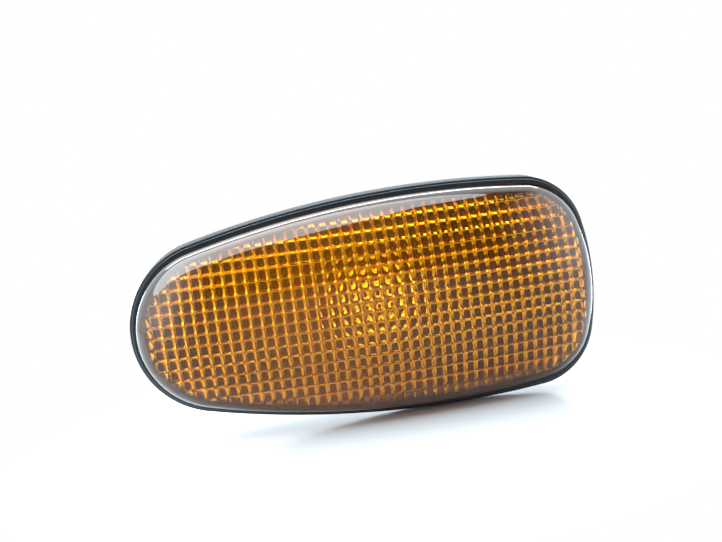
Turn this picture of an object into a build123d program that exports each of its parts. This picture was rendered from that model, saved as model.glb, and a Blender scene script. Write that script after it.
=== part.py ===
# Side repeater lamp for a car's front wing: amber pillow lens on a black housing, bulb twisted in from behind.
# Millimetres. X runs along the lamp with the narrow end at -X, the lens faces -Y, +Z is up.
# The body panel the gasket seats on is the plane Y = 0.
import os
from math import asin, atan2, ceil, cos, degrees, hypot, pi, sin, sqrt, tan
from build123d import *

os.makedirs("parts", exist_ok=True)

# Rim outline, in plan: tangent arcs, the same above and below the long axis
rim_length = 112.0
rim_height = 53.6
flank_radius = 238.0
widest_x = 16.8
tail_corner_radius = 15.4
tail_radius = 59.0

# Rim and gasket
gasket_thickness = 2.0
rim_thickness = 4.0
rim_flare = 0.5
gasket_band = 2.8

# Lens; its wall height is measured where the rim is tallest
wall_height = 5.6
dome_radius_long = 250.0
dome_radius_short = 46.0
dome_edge_radius = 7.0
lens_wall = 3.0
lens_ledge = 0.6
lip_width = 1.1
lip_thickness = 0.8
tongue_width = 1.4
tongue_depth = 1.4

# Pillow optics on the lens's inner face
pillow_pitch = 2.5
column_rise = 0.9
row_rise = 0.6
pillow_floor = 2.2

# Tub of the housing, and how far the panel reaches in under the rim
panel_thickness = 1.2
panel_lap = 5.9
tub_wall = 1.8
tub_depth = 13.0
tub_floor = 2.0
tub_draft = 1.5
tub_edge_radius = 1.2

# Bulb port and the fixings to the panel
port_x = 3.0
port_bore = 16.4
port_wall = 2.8
port_length = 6.0
notch_width = 5.0
gusset_reach = 5.0
gusset_drop = 1.5
gusset_thickness = 1.4
hook_reach = 2.5
hook_width = 10.0
hook_thickness = 3.0
hook_lead = 0.8
pad_proud = 0.6
pad_thickness = 6.0
pad_margin = 2.0
pad_setback = 1.5
clip_width = 9.0
clip_thickness = 0.5
clip_reach = 4.0
clip_shoulder = 3.0
clip_gap = 0.9
clip_setback = 0.6
peg_radius = 1.5
peg_height = 1.2
peg_offset = 1.0

# Bulb, holder and contacts
bulb_radius = 5.0
bulb_length = 18.0
bulb_wall = 0.6
bulb_neck_radius = 3.2
bulb_neck_length = 3.5
pinch_length = 3.0
hollow_taper = 2.0
wedge_width = 9.4
wedge_thickness = 2.6
wedge_length = 9.0
wedge_root = 1.5
filament_depth = 8.1
filament_length = 5.0
filament_radius = 0.4
lead_radius = 0.25
lead_seat = 2.0
seal_thickness = 1.5
seal_inset = 0.4
holder_flange = 2.5
holder_stand = 3.0
lug_reach = 1.8
lug_thickness = 1.8
plug_width = 16.0
plug_height = 9.4
plug_length = 13.0
plug_wall = 1.5
plug_floor = 3.0
contact_width = 3.0
contact_thickness = 0.6
contact_spacing = 4.8
blade_inset = 2.0

# Named clearances; the overcut carries a cutting shape past the face it opens
panel_clearance = 0.3
hook_clearance = 0.4
turn_clearance = 0.2
slip_clearance = 0.05
groove_clearance = 0.1
overcut = 1.0

# Levels along Y that follow from the sizes above
rim_back_y = -gasket_thickness
rim_front_y = rim_back_y - rim_thickness
floor_y = tub_depth - tub_floor
boss_y = tub_depth + port_length
holder_front_y = floor_y - holder_stand
flange_y = boss_y + seal_thickness
plug_y = flange_y + holder_flange
plug_end_y = plug_y + plug_length
wedge_end_y = holder_front_y + wedge_length
blade_end_y = plug_end_y - blade_inset
bulb_tip_y = holder_front_y - bulb_length
filament_y = bulb_tip_y + filament_depth

# Insets from the rim's outline that follow from the sizes above
wall_inset = lens_ledge + lip_width
cavity_inset = wall_inset + lens_wall
tongue_out = wall_inset + (lens_wall - tongue_width) / 2
tongue_in = tongue_out + tongue_width
tub_out = panel_lap + panel_clearance
tub_in = tub_out + tub_wall
half_length = rim_length / 2
half_height = rim_height / 2


def level(y):
    """The plane at the given Y, its sketch axes along X and Z, extruding towards the lens."""
    return Plane.XZ.offset(-y)


def meet(p, rp, q, rq):
    """The two points at distance rp from p and rq from q."""
    d = hypot(q[0] - p[0], q[1] - p[1])
    ux, uz = (q[0] - p[0]) / d, (q[1] - p[1]) / d
    a = (rp**2 - rq**2 + d**2) / (2 * d)
    h = sqrt(rp**2 - a**2)
    return [(p[0] + a * ux - s * h * uz, p[1] + a * uz + s * h * ux) for s in (1, -1)]


def bearing(p, q):
    """The direction from p to q in degrees."""
    return degrees(atan2(q[1] - p[1], q[0] - p[0]))


# Arc centres of the upper half, found from tangency; an inset outline keeps the centres and shortens the radii
flank_c = (widest_x, half_height - flank_radius)
tail_c = (half_length - tail_radius, 0.0)
tip_run = half_length + widest_x
tip_radius = (flank_radius**2 - tip_run**2 - flank_c[1] ** 2) / (2 * (flank_radius - tip_run))
tip_c = (tip_radius - half_length, 0.0)
tail_corner_c = max(
    meet(tail_c, tail_radius - tail_corner_radius, flank_c, flank_radius - tail_corner_radius),
    key=lambda p: p[0],
)
tip_turn = bearing(flank_c, tip_c)
flank_end = bearing(flank_c, tail_corner_c)
tail_turn = bearing(tail_c, tail_corner_c)


def outline(inset, mode=Mode.ADD):
    """Fill the current sketch with the rim's outline, drawn in parallel by the inset."""
    with BuildLine() as edge:
        CenterArc(tip_c, tip_radius - inset, tip_turn, 2 * (180 - tip_turn))
        CenterArc(tail_c, tail_radius - inset, -tail_turn, 2 * tail_turn)
        for s in (1, -1):
            for centre, radius, start, end in (
                (flank_c, flank_radius, flank_end, tip_turn),
                (tail_corner_c, tail_corner_radius, tail_turn, flank_end),
            ):
                CenterArc((centre[0], s * centre[1]), radius - inset, s * start, s * (end - start))
    make_face(edge.edges(), mode=mode)


def sag(radius, u):
    """How far an arc of this radius falls away at the offset u from its top."""
    return radius - sqrt(radius**2 - u**2)


def zigzag(radius, reach, rise):
    """Points across the pillows: a border, a crest, a border and so on, riding on an arc."""
    count = 2 * ceil(reach / pillow_pitch)
    points = []
    for k in range(-count, count + 1):
        u = k * pillow_pitch / 2
        points.append((u, sag(radius, u) + rise * (k % 2)))
    return points


# Lens: a domed cap with a lip on the rim, a tongue in the rim's groove and pillows inside.
# The dome's rounding stops short of the lip at the two ends, where the wall is lowest.
edge_radius = dome_radius_long - sag(dome_radius_short, half_height - wall_inset)
dome_fall = dome_radius_long - sqrt(edge_radius**2 - widest_x**2)
dome_y = rim_front_y - wall_height - dome_fall
tip_reach = half_length - wall_inset
tip_wall = rim_front_y - dome_y - sag(dome_radius_long, tip_reach)
edge_half_turn = (pi / 2 - asin(tip_reach / dome_radius_long)) / 2
edge_round = min(dome_edge_radius, (tip_wall - 2 * lip_thickness) / tan(edge_half_turn))
columns = zigzag(dome_radius_long - pillow_floor, half_length - cavity_inset, column_rise)
rows = zigzag(dome_radius_short - pillow_floor, half_height - cavity_inset, row_rise)
floor_top = dome_y + pillow_floor
open_y = rim_front_y + tongue_depth + overcut + rows[0][1]

with BuildPart() as dome:
    axis_y = dome_y + dome_radius_long
    arc_c = dome_radius_long - dome_radius_short
    spin = asin(half_length / arc_c)
    span = degrees(asin(half_height / dome_radius_short))
    start = Plane((0, axis_y, 0), x_dir=(sin(spin), -cos(spin), 0), z_dir=(-cos(spin), -sin(spin), 0))
    with BuildSketch(start):
        with BuildLine():
            top = CenterArc((arc_c, 0), dome_radius_short, -span, 2 * span)
            Polyline(top @ 1, (arc_c, half_height), (arc_c, -half_height), top @ 0)
        make_face()
    revolve(axis=Axis((0, axis_y, 0), (0, 0, -1)), revolution_arc=2 * degrees(spin))

with BuildPart() as pillows:
    first = columns[0]
    with BuildSketch(Plane((first[0], 0, 0), x_dir=(0, 1, 0), z_dir=(1, 0, 0))):
        with BuildLine():
            Polyline(
                *[(floor_top + first[1] + g, w) for w, g in rows],
                (open_y + first[1], rows[-1][0]),
                (open_y + first[1], rows[0][0]),
                close=True,
            )
        make_face()
    with BuildLine() as run:
        Polyline(*[(u, f, 0) for u, f in columns])
    sweep(path=run.line, normal=(1, 0, 0))
    with BuildSketch(level(open_y + columns[0][1])):
        outline(cavity_inset)
    extrude(amount=open_y - dome_y + columns[0][1], mode=Mode.INTERSECT)

with BuildPart() as lens:
    with BuildSketch(level(rim_front_y)):
        outline(wall_inset)
    extrude(amount=rim_front_y - dome_y + overcut)
    add(dome.part, mode=Mode.INTERSECT)
    bent = lens.edges().filter_by(GeomType.LINE, reverse=True)
    fillet(bent.filter_by(lambda e: e.center().Y < rim_front_y - wall_height / 2), radius=edge_round)
    with BuildSketch(level(rim_front_y)):
        outline(lens_ledge)
    extrude(amount=lip_thickness)
    with BuildSketch(level(rim_front_y)):
        outline(tongue_out)
    extrude(amount=-tongue_depth)
    with BuildSketch(level(rim_front_y)):
        outline(tongue_in)
    extrude(amount=-tongue_depth, mode=Mode.SUBTRACT)
    add(pillows.part, mode=Mode.SUBTRACT)
lens.part.label = "lens"
export_step(lens.part, "parts/lens.step")

# Housing: flared rim with the tongue's groove, drafted tub, braced bulb port, hook and clip pad
boss_radius = port_bore / 2 + port_wall
pad_x = half_length - tub_out + pad_proud
pad_front_y = panel_thickness + pad_setback
peg_y = (pad_front_y + tub_depth) / 2 + peg_offset
hook_tip_x = tub_out - hook_reach - half_length
hook_root_x = tub_in - half_length
hook_y = panel_thickness + hook_clearance
with BuildPart() as housing:
    with BuildSketch(level(rim_back_y)):
        outline(-rim_flare)
    with BuildSketch(level(rim_front_y)):
        outline(0)
    loft(ruled=True)
    with BuildSketch(level(tub_depth)):
        outline(tub_out + tub_draft)
    with BuildSketch(level(rim_back_y)):
        outline(tub_out)
    loft(ruled=True)
    fillet(housing.edges().group_by(Axis.Y)[-1], radius=tub_edge_radius)
    with BuildSketch(Plane.XY.offset(-hook_width / 2)):
        with BuildLine():
            Polyline(
                (hook_root_x, hook_y),
                (hook_tip_x, hook_y),
                (hook_tip_x, hook_y + hook_thickness - hook_lead),
                (hook_tip_x + hook_lead, hook_y + hook_thickness),
                (hook_root_x, hook_y + hook_thickness),
                close=True,
            )
        make_face()
    extrude(amount=hook_width)
    with BuildSketch(Plane.YZ.offset(pad_x)):
        with Locations(((pad_front_y + tub_depth) / 2, 0)):
            Rectangle(tub_depth - pad_front_y, clip_width + 2 * pad_margin)
    extrude(amount=-pad_thickness)
    with BuildSketch(level(floor_y)):
        outline(tub_in + tub_draft)
    with BuildSketch(level(rim_front_y)):
        outline(tub_in)
    loft(ruled=True, mode=Mode.SUBTRACT)
    with BuildSketch(level(rim_front_y)):
        outline(tongue_out - groove_clearance)
        outline(tongue_in + groove_clearance, mode=Mode.SUBTRACT)
    extrude(amount=-(tongue_depth + groove_clearance), mode=Mode.SUBTRACT)
    with BuildSketch(level(boss_y)):
        with Locations((port_x, 0)):
            Circle(boss_radius)
    extrude(amount=port_length)
    for turn in (45, 135, 225, 315):
        along = Plane((port_x, 0, 0), x_dir=(1, 0, 0), z_dir=(0, 0, 1)).rotated((0, turn, 0))
        with BuildSketch(along):
            with BuildLine():
                Polyline(
                    (boss_radius - port_wall / 2, tub_depth - tub_floor / 2),
                    (boss_radius + gusset_reach, tub_depth - tub_floor / 2),
                    (boss_radius + gusset_reach, tub_depth),
                    (boss_radius, boss_y - gusset_drop),
                    (boss_radius - port_wall / 2, boss_y - gusset_drop),
                    close=True,
                )
            make_face()
        extrude(amount=gusset_thickness / 2, both=True)
    with BuildSketch(level(boss_y)):
        with Locations((port_x, 0)):
            Circle(port_bore / 2)
            Rectangle(notch_width, port_bore + 2 * lug_reach + turn_clearance)
    extrude(amount=port_length + tub_floor, mode=Mode.SUBTRACT)
    with BuildSketch(Plane.YZ.offset(pad_x)):
        with Locations((peg_y, 0)):
            Circle(peg_radius)
    extrude(amount=peg_height)
housing.part.label = "housing"
export_step(housing.part, "parts/housing.step")

# Gasket: a flat ring between rim and panel
with BuildPart() as gasket:
    with BuildSketch(level(0)):
        outline(0)
        outline(gasket_band, mode=Mode.SUBTRACT)
    extrude(amount=gasket_thickness)
gasket.part.label = "gasket"
export_step(gasket.part, "parts/gasket.step")

# Spring clip: a leaf pegged on the pad, folded back outwards to snap behind the panel
with BuildPart() as spring_clip:
    fold = clip_reach / 2
    leaf_x = pad_x + clip_thickness / 2
    with BuildSketch(Plane.XY.offset(-clip_width / 2)):
        with BuildLine() as leaf:
            base = Line((leaf_x, pad_front_y + clip_setback), (leaf_x, tub_depth))
            bend = ThreePointArc(base @ 1, (leaf_x + fold / 2, tub_depth + fold / 2), (leaf_x + fold, tub_depth))
            leg = Line(bend @ 1, (leaf_x + clip_reach, panel_thickness + clip_shoulder))
            Line(leg @ 1, (leaf_x + fold, panel_thickness + clip_gap))
        trace(line_width=clip_thickness)
    extrude(amount=clip_width)
    with BuildSketch(Plane.YZ.offset(pad_x)):
        with Locations((peg_y, 0)):
            Circle(peg_radius + slip_clearance)
    extrude(amount=clip_thickness, mode=Mode.SUBTRACT)
spring_clip.part.label = "spring_clip"
export_step(spring_clip.part, "parts/spring_clip.step")

# Bulb holder: neck with two lugs, flange, plug shell behind, wedge slot and contact channels
contact_z = wedge_thickness / 2 + contact_thickness / 2
with BuildPart() as bulb_holder:
    with BuildSketch(level(flange_y)):
        with Locations((port_x, 0)):
            Circle(port_bore / 2 - turn_clearance)
    extrude(amount=flange_y - holder_front_y)
    with BuildSketch(level(plug_y)):
        with Locations((port_x, 0)):
            Circle(boss_radius)
    extrude(amount=holder_flange)
    with BuildSketch(level(floor_y)):
        with Locations((port_x, 0)):
            Rectangle(port_bore + 2 * lug_reach, notch_width - 2 * turn_clearance)
    extrude(amount=lug_thickness)
    with BuildSketch(level(plug_end_y)):
        with Locations((port_x, 0)):
            RectangleRounded(plug_width, plug_height, plug_wall)
    extrude(amount=plug_length)
    with BuildSketch(level(plug_end_y)):
        with Locations((port_x, 0)):
            RectangleRounded(plug_width - 2 * plug_wall, plug_height - 2 * plug_wall, plug_wall / 2)
    extrude(amount=plug_length - plug_floor, mode=Mode.SUBTRACT)
    with BuildSketch(level(holder_front_y)):
        with Locations((port_x, 0)):
            Rectangle(wedge_width + 2 * slip_clearance, wedge_thickness + 2 * slip_clearance)
    extrude(amount=-wedge_length, mode=Mode.SUBTRACT)
    with BuildSketch(level(holder_front_y)):
        for s in (1, -1):
            with Locations((port_x + s * contact_spacing / 2, s * contact_z)):
                Rectangle(contact_width + 2 * slip_clearance, contact_thickness + 2 * slip_clearance)
    extrude(amount=-(plug_end_y - holder_front_y), mode=Mode.SUBTRACT)
bulb_holder.part.label = "bulb_holder"
export_step(bulb_holder.part, "parts/bulb_holder.step")

# Holder seal: a ring squeezed between the port and the holder's flange
with BuildPart() as holder_seal:
    with BuildSketch(level(flange_y)):
        with Locations((port_x, 0)):
            Circle(boss_radius - seal_inset)
            Circle(port_bore / 2 + slip_clearance, mode=Mode.SUBTRACT)
    extrude(amount=seal_thickness)
holder_seal.part.label = "holder_seal"
export_step(holder_seal.part, "parts/holder_seal.step")

# Contacts: two strips from the bulb's wedge to the plug's blades, one above the wedge and one below
for name, s in (("contact_upper", 1), ("contact_lower", -1)):
    with BuildPart() as contact:
        with BuildSketch(level(blade_end_y)):
            with Locations((port_x + s * contact_spacing / 2, s * contact_z)):
                Rectangle(contact_width, contact_thickness)
        extrude(amount=blade_end_y - holder_front_y - slip_clearance)
    contact.part.label = name
    export_step(contact.part, f"parts/{name}.step")

# Bulb: a blown glass with a flat pressed wedge, hollow, with two leads and a filament
bulb_axis = Axis((port_x, 0, 0), (0, 1, 0))
lead_x = filament_length / 2
hollow_end_y = holder_front_y - pinch_length
lead_end_y = hollow_end_y + lead_seat


def envelope(radius, tip, shoulder, neck, end):
    """Half section of the bulb: a round tip, a straight body and a drawn-in neck."""
    with BuildLine() as edge:
        cap = CenterArc((port_x, tip + radius), radius, -90, 90)
        body = Line(cap @ 1, (port_x + radius, shoulder))
        drawn = Line(body @ 1, (port_x + neck, end))
        Polyline(drawn @ 1, (port_x, end), cap @ 0)
    make_face(edge.edges())


with BuildPart() as bulb_glass:
    with BuildSketch(Plane.XY):
        envelope(bulb_radius, bulb_tip_y, holder_front_y - bulb_neck_length, bulb_neck_radius, holder_front_y)
    revolve(axis=bulb_axis)
    with BuildSketch(level(wedge_end_y)):
        with Locations((port_x, 0)):
            Rectangle(wedge_width, wedge_thickness)
    extrude(amount=wedge_length + wedge_root)
    with BuildSketch(Plane.XY):
        envelope(
            bulb_radius - bulb_wall,
            bulb_tip_y + bulb_wall,
            hollow_end_y - hollow_taper,
            bulb_neck_radius - bulb_wall / 2,
            hollow_end_y,
        )
    revolve(axis=bulb_axis, mode=Mode.SUBTRACT)
    with BuildSketch(level(lead_end_y)):
        with Locations((port_x - lead_x, 0), (port_x + lead_x, 0)):
            Circle(lead_radius)
    extrude(amount=lead_end_y - hollow_end_y, mode=Mode.SUBTRACT)
bulb_glass.part.label = "bulb_glass"
export_step(bulb_glass.part, "parts/bulb_glass.step")

# Filament: the cylinder that its fine coil fills, held between the leads
with BuildPart() as filament:
    with BuildSketch(Plane.YZ.offset(port_x - lead_x + lead_radius)):
        with Locations((filament_y, 0)):
            Circle(filament_radius)
    extrude(amount=filament_length - 2 * lead_radius)
filament.part.label = "filament"
export_step(filament.part, "parts/filament.step")

# Leads: a wire either side, from the pinch to the filament's end
for name, s in (("lead_left", -1), ("lead_right", 1)):
    with BuildPart() as lead:
        with BuildSketch(level(lead_end_y)):
            with Locations((port_x + s * lead_x, 0)):
                Circle(lead_radius)
        extrude(amount=lead_end_y - filament_y + filament_radius)
        add(filament.part, mode=Mode.SUBTRACT)
    lead.part.label = name
    export_step(lead.part, f"parts/{name}.step")
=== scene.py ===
from math import cos, pi, radians, sin, sqrt
from types import SimpleNamespace

import bpy
import numpy as np
from bpy.props import FloatProperty, FloatVectorProperty, IntProperty, PointerProperty
from mathutils import Matrix, Vector


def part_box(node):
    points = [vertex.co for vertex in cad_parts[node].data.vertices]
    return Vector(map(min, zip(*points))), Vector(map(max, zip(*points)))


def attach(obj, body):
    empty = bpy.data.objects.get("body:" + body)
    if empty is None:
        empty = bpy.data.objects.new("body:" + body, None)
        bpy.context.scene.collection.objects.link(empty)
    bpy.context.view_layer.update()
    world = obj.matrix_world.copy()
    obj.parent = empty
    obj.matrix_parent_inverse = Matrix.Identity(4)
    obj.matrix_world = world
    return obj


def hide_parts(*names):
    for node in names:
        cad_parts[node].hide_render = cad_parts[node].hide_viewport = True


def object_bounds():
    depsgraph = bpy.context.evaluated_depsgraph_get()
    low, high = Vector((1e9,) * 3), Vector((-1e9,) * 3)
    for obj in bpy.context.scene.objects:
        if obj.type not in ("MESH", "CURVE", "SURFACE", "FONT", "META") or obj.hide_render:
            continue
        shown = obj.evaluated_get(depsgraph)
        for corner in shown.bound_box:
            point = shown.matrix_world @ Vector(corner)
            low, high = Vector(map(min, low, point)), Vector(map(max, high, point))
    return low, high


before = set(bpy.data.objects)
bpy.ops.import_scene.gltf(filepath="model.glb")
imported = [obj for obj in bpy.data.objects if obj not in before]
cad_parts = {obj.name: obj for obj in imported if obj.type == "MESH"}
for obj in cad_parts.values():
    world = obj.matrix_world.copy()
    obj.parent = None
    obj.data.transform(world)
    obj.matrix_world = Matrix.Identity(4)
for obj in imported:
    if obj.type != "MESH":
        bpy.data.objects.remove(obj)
CAD_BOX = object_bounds()

bl_info = {
    "name": "Side repeater lamp",
    "version": (1, 0, 0),
    "blender": (4, 5, 0),
    "location": "View3D > Sidebar > Lamp",
    "description": "Amber pillow lens, black housing and twist-in bulb of a car's side repeater lamp",
    "category": "Object",
}

MM = 0.001
BODY = "root"
PHOTO_WIDTH = 722


def length(name, description, millimetres):
    """A size of the lamp, written in millimetres and kept in metres."""
    return FloatProperty(name=name, description=description, default=millimetres * MM, unit="LENGTH")


def angle(name, description, degrees):
    """An angle, written in degrees."""
    return FloatProperty(name=name, description=description, default=radians(degrees), unit="ROTATION")


def number(name, description, value):
    """A plain number, such as a light's strength."""
    return FloatProperty(name=name, description=description, default=value)


def whole(name, description, value):
    """A whole number, such as a count of rings."""
    return IntProperty(name=name, description=description, default=value)


def colour(name, description, *value):
    """A colour in linear light."""
    return FloatVectorProperty(
        name=name, description=description, default=value, size=3, min=0, max=1, subtype="COLOR"
    )


class LampSizes(bpy.types.PropertyGroup):
    """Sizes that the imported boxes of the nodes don't give."""

    flank_radius: length("Flank radius", "Radius of the rim's two long sides", 238.0)
    widest_x: length("Widest place", "Where along the lamp the rim is tallest", 16.8)
    tail_corner_radius: length("Tail corner radius", "Radius between a long side and the wide end", 15.4)
    tail_radius: length("Tail radius", "Radius of the wide end", 59.0)
    rim_flare: length("Rim flare", "How far the rim spreads towards the panel", 0.5)
    rim_edge: length("Rim edge", "Roundness of the rim's front edge", 0.25)
    lens_ledge: length("Lens ledge", "Rim front left bare round the lens", 0.6)
    lip_width: length("Lip width", "Width of the lens's lip", 1.1)
    lip_thickness: length("Lip thickness", "Thickness of the lens's lip", 0.8)
    lens_wall: length("Lens wall", "Thickness of the lens's side wall", 3.0)
    tongue_width: length("Tongue width", "Width of the tongue that sits in the rim's groove", 1.4)
    groove_clearance: length("Groove clearance", "Room round the tongue", 0.1)
    dome_radius_long: length("Long dome radius", "Radius of the dome along the lamp", 250.0)
    dome_radius_short: length("Short dome radius", "Radius of the dome across the lamp", 46.0)
    dome_edge_radius: length("Dome edge radius", "Rounding between dome and side wall", 7.0)
    low_polish: number("Low polish", "Polish of the lens's lower edge beside that of its upper edge", 0.2)
    coat_fade: length("Coat fade", "How far on to the dome the rounded edge's polish runs", 6.0)
    pillow_pitch: length("Pillow pitch", "Side of one square pillow", 2.5)
    column_rise: length("Column rise", "How far a pillow swells over the borders between columns", 0.9)
    row_rise: length("Row rise", "How far a pillow swells over the borders between rows", 0.6)
    column_flat: number("Column flat", "Share of a pillow's half width that is nearly flat", 0.5)
    row_flat: number("Row flat", "Share of a pillow's half height that is nearly flat", 0.62)
    pillow_crown: number("Pillow crown", "Share of the rise by which a pillow's top is domed", 0.12)
    flank_power: number("Flank power", "Higher makes a pillow's flank start softer and end steeper", 1.3)
    pillow_floor: length("Pillow floor", "Thickness of the dome at the pillows' borders", 2.2)
    flank_steps: whole("Flank steps", "Quads down a pillow's flank", 4)
    edge_rings: whole("Edge rings", "Rings over the lens's rounded edge", 8)
    dome_rings: whole("Dome rings", "Rings between the rounded edge and the dome's middle", 10)
    worn_x: length("Worn place", "Where along the lens its face is worn most", -12.0)
    worn_core: length("Worn core", "Radius of the part that is worn most", 5.0)
    worn_reach: length("Worn reach", "Radius over which the wear dies away", 35.0)
    gasket_band: length("Gasket band", "Width of the gasket's ring", 2.8)
    tub_out: length("Tub inset", "Inset of the tub's outside from the rim's outline", 6.2)
    tub_wall: length("Tub wall", "Wall of the tub", 1.8)
    tub_depth: length("Tub depth", "Depth of the tub behind the panel", 13.0)
    tub_floor: length("Tub floor", "Thickness of the tub's floor", 2.0)
    tub_draft: length("Tub draft", "How far the tub's walls lean in", 1.5)
    tub_edge_radius: length("Tub edge radius", "Rounding of the tub's back edge", 1.2)
    port_wall: length("Port wall", "Wall of the bulb port", 2.8)
    gusset_reach: length("Gusset reach", "How far the port's four gussets run out", 5.0)
    gusset_drop: length("Gusset drop", "How far the gussets stop short of the port's end", 1.5)
    gusset_thickness: length("Gusset thickness", "Thickness of a gusset", 1.4)
    hook_gap: length("Hook gap", "From the panel's face to the hook", 1.6)
    hook_reach: length("Hook reach", "How far the hook stands out from the tub", 2.5)
    hook_width: length("Hook width", "Width of the hook", 10.0)
    hook_thickness: length("Hook thickness", "Thickness of the hook", 3.0)
    hook_lead: length("Hook lead", "Slope on the hook's tip", 0.8)
    pad_front: length("Pad front", "From the panel's face to the pad", 2.7)
    pad_width: length("Pad width", "Width of the pad", 13.0)
    peg_radius: length("Peg radius", "Peg that holds the clip", 1.5)
    peg_height: length("Peg height", "How far the peg stands out of the pad", 1.2)
    peg_y: length("Peg place", "Level of the peg behind the panel", 8.85)
    clip_thickness: length("Clip thickness", "Sheet of the spring clip", 0.5)
    clip_reach: length("Clip reach", "From the clip's base to its shoulder", 4.0)
    clip_shoulder: length("Clip shoulder", "Level of the shoulder behind the panel's face", 4.2)
    clip_end: length("Clip end", "Level of the clip's free end", 2.1)
    turn_clearance: length("Turn clearance", "Room between the port and the bulb holder", 0.2)
    holder_flange: length("Holder flange", "Thickness of the holder's flange", 2.5)
    lug_reach: length("Lug reach", "How far the holder's lugs stand out", 1.8)
    lug_thickness: length("Lug thickness", "Thickness of a lug", 1.8)
    lug_width: length("Lug width", "Width of a lug", 4.6)
    plug_width: length("Plug width", "Width of the plug shell", 16.0)
    plug_height: length("Plug height", "Height of the plug shell", 9.4)
    plug_wall: length("Plug wall", "Wall of the plug shell", 1.5)
    plug_floor: length("Plug floor", "Floor of the plug shell", 3.0)
    bulb_wall: length("Bulb wall", "Thickness of the bulb's glass", 0.6)
    bulb_neck_radius: length("Bulb neck radius", "Where the bulb is drawn in to its wedge", 3.2)
    bulb_neck_length: length("Bulb neck length", "Length of the drawn neck", 3.5)
    pinch_length: length("Pinch length", "Solid glass between hollow and holder", 3.0)
    hollow_taper: length("Hollow taper", "Length over which the hollow narrows", 2.0)
    wedge_width: length("Wedge width", "Width of the pressed wedge", 9.4)
    wedge_thickness: length("Wedge thickness", "Thickness of the pressed wedge", 2.6)
    wedge_root: length("Wedge root", "How far the wedge runs up into the neck", 1.5)
    wire_radius: length("Filament wire", "Radius of the coiled wire", 0.07)
    coil_turns: whole("Coil turns", "Turns of the filament", 11)
    seal_clearance: length("Seal clearance", "From the port's bore out to the seal", 0.05)
    seal_bulge: length("Seal bulge", "How far the seal's side swells", 0.25)
    housing_bevel: length("Housing bevel", "Eased edges of the housing", 0.15)
    clip_bevel: length("Clip bevel", "Eased edges of the clip", 0.08)
    holder_bevel: length("Holder bevel", "Eased edges of the bulb holder", 0.25)


class LampColours(bpy.types.PropertyGroup):
    """Colours of the lamp's materials."""

    amber: colour("Amber", "What passes once through the lens", 0.98, 0.37, 0.006)
    amber_haze: colour("Amber haze", "What the lens's scratches and dust scatter", 0.95, 0.33, 0.006)
    seam: colour("Seam", "Sealing bead that shows through the lens's lip", 0.012, 0.016, 0.020)
    black: colour("Black plastic", "Housing", 0.018, 0.022, 0.027)
    dust: colour("Dust", "Specks on the housing", 0.22, 0.22, 0.21)
    rubber: colour("Rubber", "Gasket and seal", 0.012, 0.012, 0.013)
    nylon: colour("Natural nylon", "Bulb holder", 0.74, 0.71, 0.64)
    nylon_clear: colour("Clear nylon", "What passes through the holder's thin places", 0.97, 0.96, 0.93)
    steel: colour("Spring steel", "Clip", 0.52, 0.52, 0.50)
    brass: colour("Brass", "Contacts", 0.78, 0.56, 0.22)
    glass: colour("Glass", "Bulb", 0.97, 0.98, 0.97)
    tungsten: colour("Tungsten", "Filament", 0.30, 0.29, 0.28)
    lead_wire: colour("Lead wire", "Bulb leads", 0.55, 0.50, 0.44)


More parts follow.
